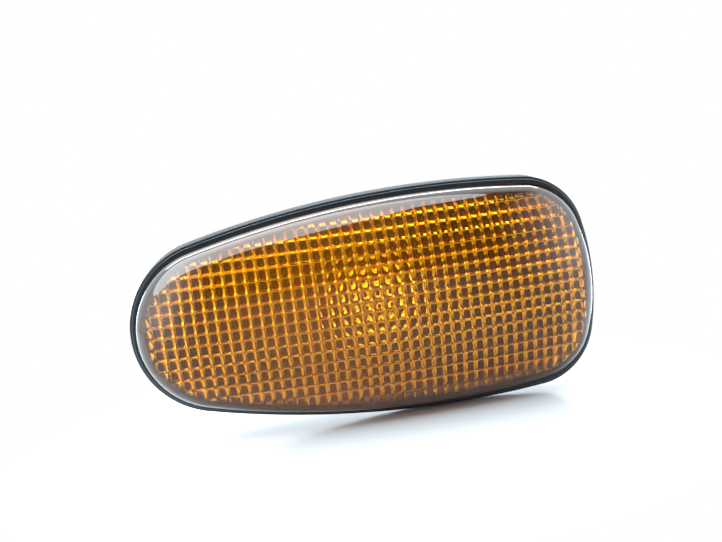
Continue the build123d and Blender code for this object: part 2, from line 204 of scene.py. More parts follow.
class LampStage(bpy.types.PropertyGroup):
    """Camera and light."""

    camera_place: FloatVectorProperty(
        name="Camera place", description="Where the camera stands", size=3, unit="LENGTH",
        default=(-22.65 * MM, -217.5 * MM, 30.65 * MM),
    )
    camera_yaw: angle("Camera yaw", "Turn about the vertical, to the left of the lamp's front", -5.95)
    camera_pitch: angle("Camera pitch", "How far the camera looks down", 6.0)
    camera_roll: angle("Camera roll", "Turn about the line of sight", -7.34)
    focal_pixels: number("Focal length in pixels", "Of an image 722 pixels wide", 900.0)
    floor_size: length("Floor size", "Side of the floor", 4000.0)
    # Painted shade on the table before the lamp: where it starts, and how much brightness it leaves far
    # away
    painted_shade_front: length("Floor front", "Distance before the lamp over which the table darkens", 12.0)
    painted_shade_far: number("Floor far", "Share of the table's brightness left far before the lamp", 0.4)
    white_from: length("White from", "Distance from the lamp at which the table turns to pure white", 55.0)
    white_to: length("White to", "Distance from the lamp beyond which the camera sees pure white", 95.0)
    table: colour("Table", "Paint of the table", 0.93, 0.94, 0.95)
    light_tint: colour("Light tint", "Colour of the room and the softboxes", 0.84, 0.94, 1.0)
    oval_length: length("Oval length", "Length of the oval softbox overhead, along the lamp", 1110.0)
    oval_depth: length("Oval depth", "Width of the oval softbox", 800.0)
    oval_distance: length("Oval distance", "From the lamp to the oval softbox", 600.0)
    oval_lean: angle("Oval lean", "How far the oval softbox leans to the lamp's narrow end", 17.5)
    oval_ahead: angle("Oval ahead", "How far the oval softbox leans to the camera", 9.0)
    oval_level: number("Oval level", "Radiance of the oval softbox", 3.0)
    strip_width: length("Strip width", "Length of the strip light behind, along the lamp", 900.0)
    strip_depth: length("Strip depth", "Width of the strip light", 60.0)
    strip_distance: length("Strip distance", "From the lamp to the strip light", 650.0)
    strip_lean: angle("Strip lean", "How far behind the lamp the strip light hangs", 42.0)
    strip_level: number("Strip level", "Radiance of the strip light", 11.0)
    panel_width: length("Panel width", "Width of the panel light behind the lamp", 900.0)
    panel_height: length("Panel height", "Height of the panel light", 150.0)
    panel_distance: length("Panel distance", "From the lamp to the panel light", 650.0)
    panel_lift: angle("Panel lift", "How high behind the lamp the panel light stands", 4.0)
    panel_level: number("Panel level", "Radiance of the panel light", 8.0)
    back_level: number("Back level", "Radiance of the white room behind the lamp", 1.3)
    side_level: number("Side level", "Radiance of the room at the lamp's sides", 1.6)
    front_level: number("Front level", "Radiance of the room on the camera's side", 0.08)
    horizon_level: number("Horizon level", "Radiance low down on the camera's side", 0.8)
    horizon_height: angle("Horizon height", "Where the light low down on the camera's side ends", 18.0)
    dim_middle: number("Dim middle", "Middle of the dim part of the room, as a direction's X", 0.07)
    dim_reach: number("Dim reach", "How far the dim part reaches to both sides, as a direction's X", 0.40)
    dim_blur: number("Dim blur", "Width of the dim part's soft edge, as a direction's X", 0.15)
    back_from: number("Back from", "Where the room behind begins, as a direction's Y", -0.04)
    back_to: number("Back to", "Where the room behind is fully bright, as a direction's Y", 0.24)


# Shader nodes


class Wire:
    """A socket of a node tree. Operators on wires and numbers add Math nodes."""

    def __init__(self, finish, socket):
        self.finish = finish
        self.socket = socket

    def __add__(self, other):
        return self.finish.math("ADD", self, other)

    def __radd__(self, other):
        return self.finish.math("ADD", other, self)

    def __sub__(self, other):
        return self.finish.math("SUBTRACT", self, other)

    def __rsub__(self, other):
        return self.finish.math("SUBTRACT", other, self)

    def __mul__(self, other):
        return self.finish.math("MULTIPLY", self, other)

    def __rmul__(self, other):
        return self.finish.math("MULTIPLY", other, self)

    def __truediv__(self, other):
        return self.finish.math("DIVIDE", self, other)

    def __rtruediv__(self, other):
        return self.finish.math("DIVIDE", other, self)


class Outputs:
    """The outputs of a node as wires, by number or name."""

    def __init__(self, finish, node):
        self.finish = finish
        self.node = node

    def __getitem__(self, key):
        return Wire(self.finish, self.node.outputs[key])


class Finish:
    """A node tree under construction, of a material or of the world."""

    def __init__(self, owner):
        owner.use_nodes = True
        self.owner = owner
        self.tree = owner.node_tree
        self.tree.nodes.clear()

    def node(self, kind, settings=None, sockets=None):
        """Add a node of this kind, set its settings first, then give its sockets values or links."""
        node = self.tree.nodes.new(kind)
        for name, value in (settings or {}).items():
            setattr(node, name, value)
        for key, value in (sockets or {}).items():
            if isinstance(value, Wire):
                self.tree.links.new(value.socket, node.inputs[key])
            else:
                node.inputs[key].default_value = value
        return Outputs(self, node)

    def math(self, operation, first, second):
        """A Math node on two wires or numbers."""
        return self.node("ShaderNodeMath", {"operation": operation}, {0: first, 1: second})[0]

    def place(self):
        """Object coordinates, in metres."""
        return self.node("ShaderNodeTexCoord")["Object"]

    def attribute(self, name):
        """A value kept on the mesh's points."""
        return self.node("ShaderNodeAttribute", {"attribute_name": name})["Fac"]

    def split(self, vector):
        """The three parts of a vector."""
        return self.node("ShaderNodeSeparateXYZ", None, {0: vector})

    def reach(self, vector):
        """The length of a vector."""
        return self.node("ShaderNodeVectorMath", {"operation": "LENGTH"}, {0: vector})["Value"]

    def camera_ray(self):
        """1 where the camera sees the surface directly, else 0."""
        return self.node("ShaderNodeLightPath")["Is Camera Ray"]

    def noise(self, scale, detail=3.0, roughness=0.5, place=None):
        """Noise from 0 to 1, its scale in cells a metre."""
        sockets = {"Scale": scale, "Detail": detail, "Roughness": roughness}
        return self.node("ShaderNodeTexNoise", None, {"Vector": place or self.place(), **sockets})[0]

    def between(self, value, low, high):
        """A value mapped to 0 up to low, 1 from high on and evenly between."""
        return self.node("ShaderNodeMapRange", None, {0: value, 1: low, 2: high})[0]

    def blend(self, factor, low, high):
        """A mix of two colours."""
        return self.node("ShaderNodeMix", {"data_type": "RGBA"}, {0: factor, 6: low, 7: high})[2]

    def larger(self, first, second):
        """The larger of two values."""
        return self.math("MAXIMUM", first, second)

    def away(self, value, middle):
        """How far a value is from a middle, to either side."""
        return self.larger(value - middle, middle - value)

    def bump(self, height, strength, distance):
        """A normal from a height map."""
        sockets = {"Strength": strength, "Distance": distance, "Height": height}
        return self.node("ShaderNodeBump", None, sockets)[0]

    def principled(self, sockets):
        """A Principled shader with these sockets."""
        return self.node("ShaderNodeBsdfPrincipled", None, sockets)[0]

    def mixed(self, factor, first, second):
        """A mix of two shaders."""
        return self.node("ShaderNodeMixShader", None, {0: factor, 1: first, 2: second})[0]

    def surface(self, shader):
        """Link the finished shader to the output."""
        self.node("ShaderNodeOutputMaterial", None, {"Surface": shader})
        return self.owner


def opaque(value, factor=1.0):
    """A property's colour with full alpha, made lighter or darker by a factor."""
    return (value[0] * factor, value[1] * factor, value[2] * factor, 1.0)


def amber_plastic(colours, sizes):
    """Clear amber acrylic with a polished edge, worn most before the bulb, over a dark sealing bead."""
    finish = Finish(bpy.data.materials.new("amber_plastic"))
    wear = finish.between(finish.noise(900.0, 4.0), 0.62, 0.8)
    clear = finish.principled({
        "Base Color": opaque(colours.amber),
        "Roughness": 0.015 + 0.02 * wear,
        "IOR": 1.49,
        "Transmission Weight": 1.0,
        "Specular IOR Level": 0.3,
        "Coat Weight": finish.attribute("polish"),
        "Coat Roughness": 0.02,
        "Coat IOR": 1.8,
    })
    haze = finish.principled({"Base Color": opaque(colours.amber_haze), "Roughness": 0.3})
    bead = finish.principled({"Base Color": opaque(colours.seam), "Roughness": 0.3})
    flat = {"Vector": finish.place(), "Location": (-sizes.worn_x, 0.0, 0.0), "Scale": (1.0, 0.0, 1.0)}
    spot = finish.node("ShaderNodeMapping", None, flat)[0]
    middle = 1.0 - finish.between(finish.reach(spot), sizes.worn_core, sizes.worn_reach)
    worn = finish.mixed(0.03 + 0.08 * middle + 0.03 * wear, clear, haze)
    return finish.surface(finish.mixed(0.92 * finish.attribute("seam"), worn, bead))


def black_plastic(colours):
    """Moulded black plastic: slightly uneven gloss, fine moulded grain and a little dust."""
    finish = Finish(bpy.data.materials.new("black_plastic"))
    cloud = finish.noise(120.0, 4.0)
    grain = finish.noise(5200.0, 2.0)
    dust = finish.between(finish.noise(1500.0, 2.0, 0.6), 0.70, 0.78)
    return finish.surface(finish.principled({
        "Base Color": finish.blend(0.55 * dust, opaque(colours.black), opaque(colours.dust)),
        "Roughness": 0.16 + 0.14 * cloud + 0.3 * dust,
        "IOR": 1.52,
        "Normal": finish.bump(grain, 0.12, 0.00005),
    }))


def black_rubber(colours):
    """Dull rubber with a fine pitted skin."""
    finish = Finish(bpy.data.materials.new("black_rubber"))
    pits = finish.noise(2600.0, 4.0, 0.65)
    return finish.surface(finish.principled({
        "Base Color": finish.blend(finish.noise(60.0), opaque(colours.rubber), opaque(colours.rubber, 2.2)),
        "Roughness": 0.62 + 0.25 * pits,
        "Normal": finish.bump(pits, 0.25, 0.0001),
    }))


def natural_nylon(colours, flange_y, recess_x, recess):
    """Unfilled nylon: clear in the neck, a little milky in the plug's recess and more elsewhere."""
    finish = Finish(bpy.data.materials.new("natural_nylon"))
    cloud = finish.noise(180.0, 3.0)
    grain = finish.bump(finish.noise(3000.0), 0.08, 0.0001)
    clear = finish.principled({
        "Base Color": opaque(colours.nylon_clear),
        "Roughness": 0.06 + 0.06 * cloud,
        "IOR": 1.03,
        "Transmission Weight": 1.0,
        "Normal": grain,
    })
    body = finish.principled({
        "Base Color": finish.blend(cloud, opaque(colours.nylon, 0.88), opaque(colours.nylon)),
        "Roughness": 0.3 + 0.15 * cloud,
        "IOR": 1.53,
        "Normal": grain,
    })
    glow = finish.node("ShaderNodeBsdfTranslucent", None, {"Color": opaque(colours.nylon_clear)})[0]
    axes = finish.split(finish.place())
    behind = finish.math("GREATER_THAN", axes["Y"], flange_y)
    across = finish.away(axes["X"], recess_x) / recess[0]
    upwards = finish.away(axes["Z"], 0.0) / recess[1]
    thick = 0.2 + 0.55 * finish.between(finish.larger(across, upwards), 0.45, 0.5)
    return finish.surface(finish.mixed(behind * thick, clear, finish.mixed(0.6, body, glow)))


def metal(name, tint, roughness, along):
    """A drawn metal: fine lines along one axis over a cloudy polish."""
    finish = Finish(bpy.data.materials.new(name))
    stretched = finish.node("ShaderNodeMapping", None, {"Vector": finish.place(), "Scale": along})[0]
    lines = finish.noise(1.0, 4.0, 0.6, stretched)
    cloud = finish.noise(250.0, 3.0)
    return finish.surface(finish.principled({
        "Base Color": finish.blend(cloud, opaque(tint, 0.82), opaque(tint)),
        "Metallic": 1.0,
        "Roughness": roughness + 0.12 * lines + 0.1 * cloud,
        "Normal": finish.bump(lines, 0.15, 0.00005),
    }))


def clear_glass(colours):
    """Thin clear glass."""
    finish = Finish(bpy.data.materials.new("clear_glass"))
    return finish.surface(finish.principled({
        "Base Color": opaque(colours.glass),
        "Roughness": 0.01 + 0.02 * finish.noise(400.0),
        "IOR": 1.03,
        "Transmission Weight": 1.0,
    }))


# Outline and measures


def sag(radius, u):
    """How far an arc of this radius falls away at the offset u from its top: r - sqrt(r^2 - u^2)."""
    return radius - np.sqrt(radius**2 - u**2)


class Outline:
    """The rim's outline: six tangent arcs, so that each normal angle belongs to one arc.

    The point at normal angle t and inset d is c(t) + (r(t) - d) * (cos t, sin t), in X and Z, with the
    arc's own centre c and radius r. Arcs run counter-clockwise from the lower end of the wide end.
    """

    def __init__(self, sizes, half_length, half_height):
        flank = np.array((sizes.widest_x, half_height - sizes.flank_radius))
        tail = np.array((half_length - sizes.tail_radius, 0.0))
        run = half_length + sizes.widest_x
        tip_radius = (sizes.flank_radius**2 - run**2 - flank[1] ** 2) / (2 * (sizes.flank_radius - run))
        tip = np.array((tip_radius - half_length, 0.0))
        corner = self._meet(
            tail, sizes.tail_radius - sizes.tail_corner_radius,
            flank, sizes.flank_radius - sizes.tail_corner_radius,
        )
        tail_turn = self._bearing(tail, corner)
        flank_end = self._bearing(flank, corner)
        tip_turn = self._bearing(flank, tip)
        mirrored = np.array((1.0, -1.0))
        self.centres = np.array((tail, corner, flank, tip, flank * mirrored, corner * mirrored))
        self.radii = np.array((
            sizes.tail_radius, sizes.tail_corner_radius, sizes.flank_radius,
            tip_radius, sizes.flank_radius, sizes.tail_corner_radius,
        ))
        self.turns = np.array((
            -tail_turn, tail_turn, flank_end, tip_turn,
            2 * pi - tip_turn, 2 * pi - flank_end, 2 * pi - tail_turn,
        ))

    @staticmethod
    def _meet(p, rp, q, rq):
        """Of the two points at distance rp from p and rq from q, the one further along X."""
        d = np.linalg.norm(q - p)
        u = (q - p) / d
        a = (rp**2 - rq**2 + d**2) / (2 * d)
        h = sqrt(rp**2 - a**2)
        side = np.array((-u[1], u[0])) * h
        return max(p + a * u + side, p + a * u - side, key=lambda point: point[0])

    @staticmethod
    def _bearing(p, q):
        """Angle of the line from p to q."""
        return float(np.arctan2(q[1] - p[1], q[0] - p[0]))

    def samples(self, count):
        """Normal angles of points equally far apart along the outline."""
        lengths = np.concatenate(((0.0,), np.cumsum(self.radii * np.diff(self.turns))))
        return np.interp(np.arange(count) / count * lengths[-1], lengths, self.turns)

    def at(self, turns, inset):
        """Points at these normal angles and insets, as an array of X and Z."""
        arc = np.clip(np.searchsorted(self.turns, turns, side="right") - 1, 0, 5)
        normal = np.stack((np.cos(turns), np.sin(turns)), axis=-1)
        return self.centres[arc] + (self.radii[arc] - inset)[..., None] * normal

    def locate(self, points):
        """Normal angle and depth inside the outline of points, from the nearest arc that covers each."""
        away = points[..., None, :] - self.centres
        turn = np.arctan2(away[..., 1], away[..., 0])
        turn = np.where(turn < self.turns[0], turn + 2 * pi, turn)
        depth = self.radii - np.linalg.norm(away, axis=-1)
        fits = (turn >= self.turns[:-1]) & (turn <= self.turns[1:])
        arc = np.argmin(np.where(fits, depth, np.inf), axis=-1)[..., None]
        return np.take_along_axis(turn, arc, -1)[..., 0], np.take_along_axis(depth, arc, -1)[..., 0]


def measures(sizes):
    """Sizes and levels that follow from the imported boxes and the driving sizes."""
    m = SimpleNamespace()
    gasket_low, gasket_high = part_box("gasket")
    housing_low, housing_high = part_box("housing")
    lens_low, lens_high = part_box("lens")
    seal_low, seal_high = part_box("holder_seal")
    holder_low, holder_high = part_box("bulb_holder")
    m.panel_y = gasket_high.y
    m.rim_back_y = gasket_low.y
    m.rim_front_y = housing_low.y
    m.dome_y = lens_low.y
    m.tongue_y = lens_high.y
    m.boss_y = housing_high.y
    m.seal_back_y = seal_high.y
    m.holder_front_y = holder_low.y
    m.plug_end_y = holder_high.y
    m.floor_y = sizes.tub_depth - sizes.tub_floor
    m.port_x = (seal_low.x + seal_high.x) / 2
    m.boss_radius = (holder_high.x - holder_low.x) / 2
    m.port_radius = m.boss_radius - sizes.port_wall
    m.wall_inset = sizes.lens_ledge + sizes.lip_width
    m.cavity_inset = m.wall_inset + sizes.lens_wall
    m.tongue_out = m.wall_inset + (sizes.lens_wall - sizes.tongue_width) / 2
    m.tongue_in = m.tongue_out + sizes.tongue_width
    m.tub_in = sizes.tub_out + sizes.tub_wall
    half_length = (gasket_high.x - gasket_low.x) / 2
    half_height = (gasket_high.z - gasket_low.z) / 2
    m.half_length = half_length
    m.half_height = half_height
    m.outline = Outline(sizes, half_length, half_height)
    return m


# Meshes


class Shell:
    """One mesh gathered from closed blocks, each turned so that its faces point outwards."""

    def __init__(self):
        self.points = []
        self.quads = []
        self.tris = []
        self.count = 0

    def add(self, points, quads, tris=None, cavity=False):
        """Add a closed block; a cavity's faces point into its hollow."""
        tris = np.zeros((0, 3), int) if tris is None else tris
        halves = np.concatenate((quads[:, (0, 1, 2)], quads[:, (0, 2, 3)], tris))
        a, b, c = (points[halves[:, k]] for k in range(3))
        volume = np.einsum("ij,ij->i", a, np.cross(b, c)).sum()
        if (volume < 0) != cavity:
            quads = quads[:, ::-1]
            tris = tris[:, ::-1]
        self.points.append(points)
        self.quads.append(quads + self.count)
        self.tris.append(tris + self.count)
        self.count += len(points)

    def loops(self, rings, closed=False, cavity=False):
        """Add rings of equal count, joined in order; a closed run joins the last to the first, an open one
        gets a fan on each end ring, from the ring's middle."""
        rows, columns = rings.shape[:2]
        ids = np.arange(rows * columns).reshape(rows, columns)
        below = ids if closed else ids[:-1]
        above = np.roll(ids, -1, axis=0) if closed else ids[1:]
        quads = np.stack((below, np.roll(below, -1, 1), np.roll(above, -1, 1), above), axis=-1)
        points = rings.reshape(-1, 3)
        tris = None
        if not closed:
            middles = np.stack((rings[0].mean(0), rings[-1].mean(0)))
            first = np.full(columns, len(points))
            tris = np.concatenate((
                np.stack((first, np.roll(ids[0], -1), ids[0]), axis=-1),
                np.stack((first + 1, ids[-1], np.roll(ids[-1], -1)), axis=-1),
            ))
            points = np.concatenate((points, middles))
        self.add(points, quads.reshape(-1, 4), tris, cavity)

    def piece(self, name, material, slot, *nodes, hard=35.0, bevel=0.0):
        """Make the mesh an object that rides on the lamp and stands for the nodes."""
        points = np.concatenate(self.points)
        quads = np.concatenate(self.quads)
        tris = np.concatenate(self.tris)
        mesh = bpy.data.meshes.new(name)
        mesh.vertices.add(len(points))
        mesh.vertices.foreach_set("co", points.astype(np.float32).ravel())
        corners = np.concatenate((quads.ravel(), tris.ravel()))
        mesh.loops.add(len(corners))
        mesh.loops.foreach_set("vertex_index", corners.astype(np.int32))
        mesh.polygons.add(len(quads) + len(tris))
        starts = np.concatenate((4 * np.arange(len(quads)), quads.size + 3 * np.arange(len(tris))))
        mesh.polygons.foreach_set("loop_start", starts.astype(np.int32))
        mesh.update(calc_edges=True)
        if mesh.validate():
            raise RuntimeError(name + " has faulty faces")
        mesh.shade_smooth()
        mesh.set_sharp_from_angle(angle=radians(hard))
        mesh.materials.append(material)
        piece = bpy.data.objects.new(name, mesh)
        bpy.context.scene.collection.objects.link(piece)
        if bevel:
            rounding = piece.modifiers.new("edges", "BEVEL")
            rounding.width = bevel
            rounding.segments = 2
            rounding.limit_method = "ANGLE"
            rounding.angle_limit = radians(hard)
            rounding.harden_normals = True
        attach(piece, BODY)
        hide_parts(*nodes)
        return piece


def lifted(plan, y):
    """Plan points X, Z at the level y, as points in space."""
    y = np.broadcast_to(y, plan.shape[:-1])
    return np.stack((plan[..., 0], y, plan[..., 1]), axis=-1)


def circle(turns, x, radius):
    """Plan points round a circle about (x, 0)."""
    return np.stack((x + radius * np.cos(turns), radius * np.sin(turns)), axis=-1)


def carried(outline, turns, profile):
    """Rings round the outline: each profile row is an inset and a level."""
    return [lifted(outline.at(turns, inset), y) for inset, y in profile]


def circled(turns, x, profile):
    """Rings about the line through (x, 0) along Y: each profile row is a radius and a level."""
    return [lifted(circle(turns, x, radius), y) for radius, y in profile]


def extruded(section, low, high, axis):
    """Two rings of a flat section, its two columns along the other axes in order, at both ends of a run."""
    rings = np.empty((2, len(section), 3))
    rings[:, :, [k for k in range(3) if k != axis]] = section
    rings[0, :, axis] = low
    rings[1, :, axis] = high
    return rings


def turned(rings, x, turns):
    """Rings turned about the line through (x, 0) along Y."""
    c, s = np.cos(turns), np.sin(turns)
    out = rings.copy()
    out[..., 0] = x + c * (rings[..., 0] - x) - s * rings[..., 2]
    out[..., 2] = s * (rings[..., 0] - x) + c * rings[..., 2]
    return out


def eased_corner(start, corner, end, steps=6):
    """Points of a rounded corner: the parabola (1 - t)^2 start + 2 t (1 - t) corner + t^2 end."""
    t = np.linspace(0, 1, steps)[:, None]
    start, corner, end = np.array(start), np.array(corner), np.array(end)
    return (1 - t) ** 2 * start + 2 * t * (1 - t) * corner + t**2 * end


def lathe(profile, x, count=72):
    """A turned block's rings, circled at equal angles."""
    return np.stack(circled(np.arange(count) / count * 2 * pi, x, profile))


def rounded_rectangle(width, height, radius, steps=6):
    """Plan points round a rectangle with round corners: corner centre plus radius, a quarter turn each."""
    quarter = np.linspace(0, pi / 2, steps)
    turns = np.concatenate([quarter + k * pi / 2 for k in range(4)])
    sign_x = np.repeat((1, -1, -1, 1), steps)
    sign_z = np.repeat((1, 1, -1, -1), steps)
    x = sign_x * (width / 2 - radius) + radius * np.cos(turns)
    z = sign_z * (height / 2 - radius) + radius * np.sin(turns)
    return np.stack((x, z), axis=-1)


def spaced(plan, count=144):
    """Points equally far apart along a closed run of plan points."""
    closed = np.concatenate((plan, plan[:1]))
    run = np.concatenate(((0.0,), np.cumsum(np.linalg.norm(np.diff(closed, axis=0), axis=1))))
    place = np.arange(count) / count * run[-1]
    return np.stack([np.interp(place, run, closed[:, k]) for k in (0, 1)], axis=-1)


def soft_block(low, high, radius, steps=4):
    """Rings of a box with round edges: rounded rectangles stacked along Y, drawn in at both ends by
    radius * (1 - sin t) while the level moves by radius * (1 - cos t)."""
    low, high = np.array(low), np.array(high)
    middle = (low + high) / 2
    size = high - low
    t = np.linspace(0, pi / 2, steps)
    inset = np.concatenate((radius * (1 - np.sin(t)), radius * (1 - np.sin(t))[::-1]))
    rise = radius * (1 - np.cos(t))
    level = np.concatenate((low[1] + rise, (high[1] - rise)[::-1]))
    rings = []
    for d, y in zip(inset, level):
        plan = rounded_rectangle(size[0] - 2 * d, size[2] - 2 * d, max(radius - d, radius * 0.2))
        rings.append(lifted(plan + middle[[0, 2]], y))
    return np.stack(rings)


def tube(path, radius, sides=10):
    """Rings of this radius square to a path, with the side directions carried by a fixed up vector."""
    ahead = np.gradient(path, axis=0)
    ahead /= np.linalg.norm(ahead, axis=1)[:, None]
    up = np.cross(ahead, np.array((0.3, 0.2, 0.93)))
    up /= np.linalg.norm(up, axis=1)[:, None]
    side = np.cross(ahead, up)
    turns = np.arange(sides) / sides * 2 * pi
    around = np.cos(turns)[None, :, None] * up[:, None] + np.sin(turns)[None, :, None] * side[:, None]
    return path[:, None] + radius * around


# Pieces


def dome_level(sizes, m, plan):
    """Level of the outer dome over plan points: an arc of the short radius across the lamp, turned about
    an axis the long radius behind its top, so y = top + R - sqrt((R - r + sqrt(r^2 - z^2))^2 - x^2)."""
    x, z = plan[..., 0], plan[..., 1]
    section = sizes.dome_radius_long - sag(sizes.dome_radius_short, z)
    return m.dome_y + sizes.dome_radius_long - np.sqrt(section**2 - x**2)


def pillow_level(sizes, m, plan):
    """Level of the inner face: an arc along the lamp plus an arc across it, and on both the pillows. At the
    share u from a pillow's middle to its border, with a top nearly flat out to c, a pillow swells by
    rise * (1 - k * min(u / c, 1)^2 - (1 - k) * t^n), where t runs from 0 at c to 1 at the border."""
    level = m.dome_y + sizes.pillow_floor
    radii = (sizes.dome_radius_long, sizes.dome_radius_short)
    rises = (sizes.column_rise, sizes.row_rise)
    flats = (sizes.column_flat, sizes.row_flat)
    crown = sizes.pillow_crown
    for k, (radius, rise, flat) in enumerate(zip(radii, rises, flats)):
        place = plan[..., k]
        share = np.abs(np.mod(place / sizes.pillow_pitch, 1.0) - 0.5) * 2
        fall = np.clip((share - flat) / (1 - flat), 0, 1) ** sizes.flank_power
        swell = 1 - crown * np.minimum(share / flat, 1) ** 2 - (1 - crown) * fall
        level = level + sag(radius - sizes.pillow_floor, place) + rise * swell
    return level


def pillow_lines(sizes, reach, flat):
    """Places of the grid's lines out to a reach: a pillow's middle and equal steps down both flanks."""
    pillows = int(np.ceil(reach / sizes.pillow_pitch))
    flank = np.linspace(1, flat, sizes.flank_steps + 1)
    shares = np.concatenate((-flank, (0.0,), flank[:0:-1]))
    within = (0.5 + 0.5 * shares) * sizes.pillow_pitch
    starts = np.arange(-pillows, pillows) * sizes.pillow_pitch
    lines = (starts[:, None] + within).ravel()
    return np.append(lines, pillows * sizes.pillow_pitch)


def lens_block(sizes, m):
    """The lens as one closed surface: a square grid of pillows cut at the cavity's outline, a profile of
    wall, tongue, lip and rounded edge carried round that outline, and rings of dome drawn to the middle."""
    columns = pillow_lines(sizes, m.half_length, sizes.column_flat)
    x, z = np.meshgrid(columns, pillow_lines(sizes, m.half_height, sizes.row_flat))
    plan = np.stack((x, z), axis=-1).reshape(-1, 2)
    turn, depth = m.outline.locate(plan)
    inside = depth > m.cavity_inset
    ids = np.arange(len(plan)).reshape(x.shape)
    quads = np.stack((ids[:-1, :-1], ids[:-1, 1:], ids[1:, 1:], ids[1:, :-1]), axis=-1).reshape(-1, 4)
    quads = quads[inside[quads].any(1)]
    used, quads = np.unique(quads, return_inverse=True)
    quads = quads.reshape(-1, 4)
    plan, turn, inside = plan[used], turn[used], inside[used]
    plan = np.where(inside[:, None], plan, m.outline.at(turn, m.cavity_inset))
    grid = lifted(plan, pillow_level(sizes, m, plan))

    # The cut edge: directed sides of quads that no other quad runs back along
    sides = np.stack((quads, np.roll(quads, -1, axis=1)), axis=-1).reshape(-1, 2)
    forward = sides[:, 0] * len(plan) + sides[:, 1]
    backward = sides[:, 1] * len(plan) + sides[:, 0]
    sides = sides[~np.isin(forward, backward)]
    border, sides = np.unique(sides, return_inverse=True)
    sides = sides.reshape(-1, 2)
    turn = turn[border]

    # Profile round the cut edge, from the cavity's wall to the foot of the outer wall
    front = m.rim_front_y
    lip = front - sizes.lip_thickness
    profile = (
        (m.cavity_inset, front), (m.tongue_in, front), (m.tongue_in, m.tongue_y),
        (m.tongue_out, m.tongue_y), (m.tongue_out, front), (sizes.lens_ledge, front),
        (sizes.lens_ledge, lip + 0.3 * sizes.lip_thickness),
        (sizes.lens_ledge + 0.1 * sizes.lip_width, lip + 0.1 * sizes.lip_thickness),
        (sizes.lens_ledge + 0.3 * sizes.lip_width, lip), (m.wall_inset, lip),
    )
    rings = carried(m.outline, turn, profile)
    polish = [np.zeros(len(grid))] + [np.zeros(len(turn))] * len(profile)

    # Rounded edge: a ball of radius R rolls inside wall and dome, whose slope there is tan f
    radius = sizes.dome_edge_radius
    tiny = 0.05 * MM
    wall = dome_level(sizes, m, m.outline.at(turn, m.wall_inset))
    slope = (wall - dome_level(sizes, m, m.outline.at(turn, m.wall_inset + tiny))) / tiny
    lean = np.arctan(slope)
    upper = 0.5 + 0.5 * np.clip(3.0 * np.sin(turn), -1, 1)
    edge_polish = sizes.low_polish + (1 - sizes.low_polish) * upper
    for t in np.linspace(0, 1, sizes.edge_rings):
        swing = t * (pi / 2 - lean)
        inward = radius * (1 - np.cos(swing))
        plan = m.outline.at(turn, m.wall_inset + inward)
        chord = inward * slope
        ball = radius * slope - radius / np.cos(lean) + radius * np.sin(swing)
        rings.append(lifted(plan, dome_level(sizes, m, plan) + chord - ball))
        polish.append(edge_polish)
    for share in np.linspace(1, 0, sizes.dome_rings + 2)[1:-1]:
        shrunk = plan * share
        rings.append(lifted(shrunk, dome_level(sizes, m, shrunk)))
        fade = np.clip(1 - np.linalg.norm(plan - shrunk, axis=1) / sizes.coat_fade, 0, 1)
        polish.append(edge_polish * fade)
    polish.append(np.zeros(1))
    pole = lifted(np.zeros((1, 2)), m.dome_y)

    # Joining: the border's own points, then ring by ring, then the pole
    ring_ids = len(grid) + np.arange(len(rings) * len(border)).reshape(len(rings), -1)
    rows = np.concatenate((border[None], ring_ids))
    points = np.concatenate([grid] + rings + [pole])
    first, second = rows[:, sides[:, 0]], rows[:, sides[:, 1]]
    bands = np.stack((second[:-1], first[:-1], first[1:], second[1:]), axis=-1).reshape(-1, 4)
    fan = np.stack((second[-1], first[-1], np.full(len(sides), len(points) - 1)), axis=-1)
    lip_start = 6
    seam = np.zeros(len(points))
    seam[rows[lip_start : len(profile) + 1]] = 1.0
    return points, np.concatenate((quads, bands)), fan, {"seam": seam, "polish": np.concatenate(polish)}


def build_lens(sizes, colours):
    """The amber lens."""
    m = measures(sizes)
    shell = Shell()
    points, quads, fan, marks = lens_block(sizes, m)
    shell.add(points, quads, fan)
    lens = shell.piece("amber_lens", amber_plastic(colours, sizes), "amber_lens", "lens")
    for name, values in marks.items():
        mark = lens.data.attributes.new(name, "FLOAT", "POINT")
        mark.data.foreach_set("value", values.astype(np.float32))


def housing_body(sizes, m, count=480):
    """Rim, groove, tub, floor and port: one closed profile, inset and level, carried round the outline and
    drawn in to a circle at the port."""
    turns = m.outline.samples(count)
    around = m.outline.at(turns, sizes.tub_out) - (m.port_x, 0.0)
    round_port = np.arctan2(around[:, 1], around[:, 0])
    gap = sizes.groove_clearance
    edge = sizes.rim_edge
    front, back = m.rim_front_y, m.rim_back_y
    corner = np.array((sizes.tub_out + sizes.tub_draft, sizes.tub_depth))
    down = np.array((sizes.tub_draft, sizes.tub_depth - back))
    down /= np.linalg.norm(down)
    run = sizes.tub_edge_radius
    leaning = [
        (m.tub_in, front), (m.tongue_in + gap, front), (m.tongue_in + gap, m.tongue_y + gap),
        (m.tongue_out - gap, m.tongue_y + gap), (m.tongue_out - gap, front),
        (edge, front), (0.3 * edge, front + 0.3 * edge), (-0.05 * edge, front + edge),
        (-sizes.rim_flare, back), (sizes.tub_out, back),
    ]
    leaning += list(eased_corner(corner - run * down, corner, corner + (run, 0.0)))
    rings = carried(m.outline, turns, leaning)
    port = (
        (m.boss_radius, sizes.tub_depth), (m.boss_radius, m.boss_y),
        (m.port_radius, m.boss_y), (m.port_radius, m.floor_y),
    )
    rings += circled(round_port, m.port_x, port)
    rings.append(lifted(m.outline.at(turns, m.tub_in + sizes.tub_draft), m.floor_y))
    return np.stack(rings)


